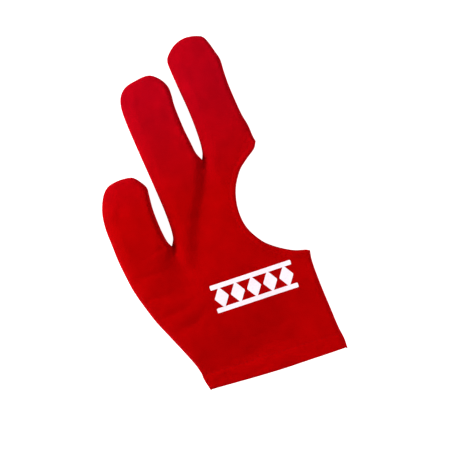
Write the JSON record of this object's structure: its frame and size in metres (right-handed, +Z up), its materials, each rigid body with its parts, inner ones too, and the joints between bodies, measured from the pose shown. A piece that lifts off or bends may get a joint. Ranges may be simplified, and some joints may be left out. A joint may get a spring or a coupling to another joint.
{
  "type": "yo-yo glove",
  "caption": "Three-finger knit glove lying flat, with a hemmed wrist, a large hemmed opening for the bare fingers and a printed ornament on the back.",
  "frame": {"origin": "under the middle of the glove's outline, on the surface that the glove lies on", "axes": "+Y from the wrist to the fingertips, +Z up out of the back of the glove, +X away from the thumb"},
  "size_m": [0.1158, 0.2052, 0.0107],
  "materials": {
    "red_knit": "fine stretch jersey knit, bright red, soft sheen towards its edges",
    "red_hem": "the same red knit, turned under and stitched",
    "white_print": "thin white screen print on the knit"
  },
  "bodies": {
    "root": {"back_panel": "red_knit", "palm_panel": "red_knit", "wrist_hem": "red_hem", "opening_hem": "red_hem", "back_print": "white_print"}
  },
  "joints": []
}
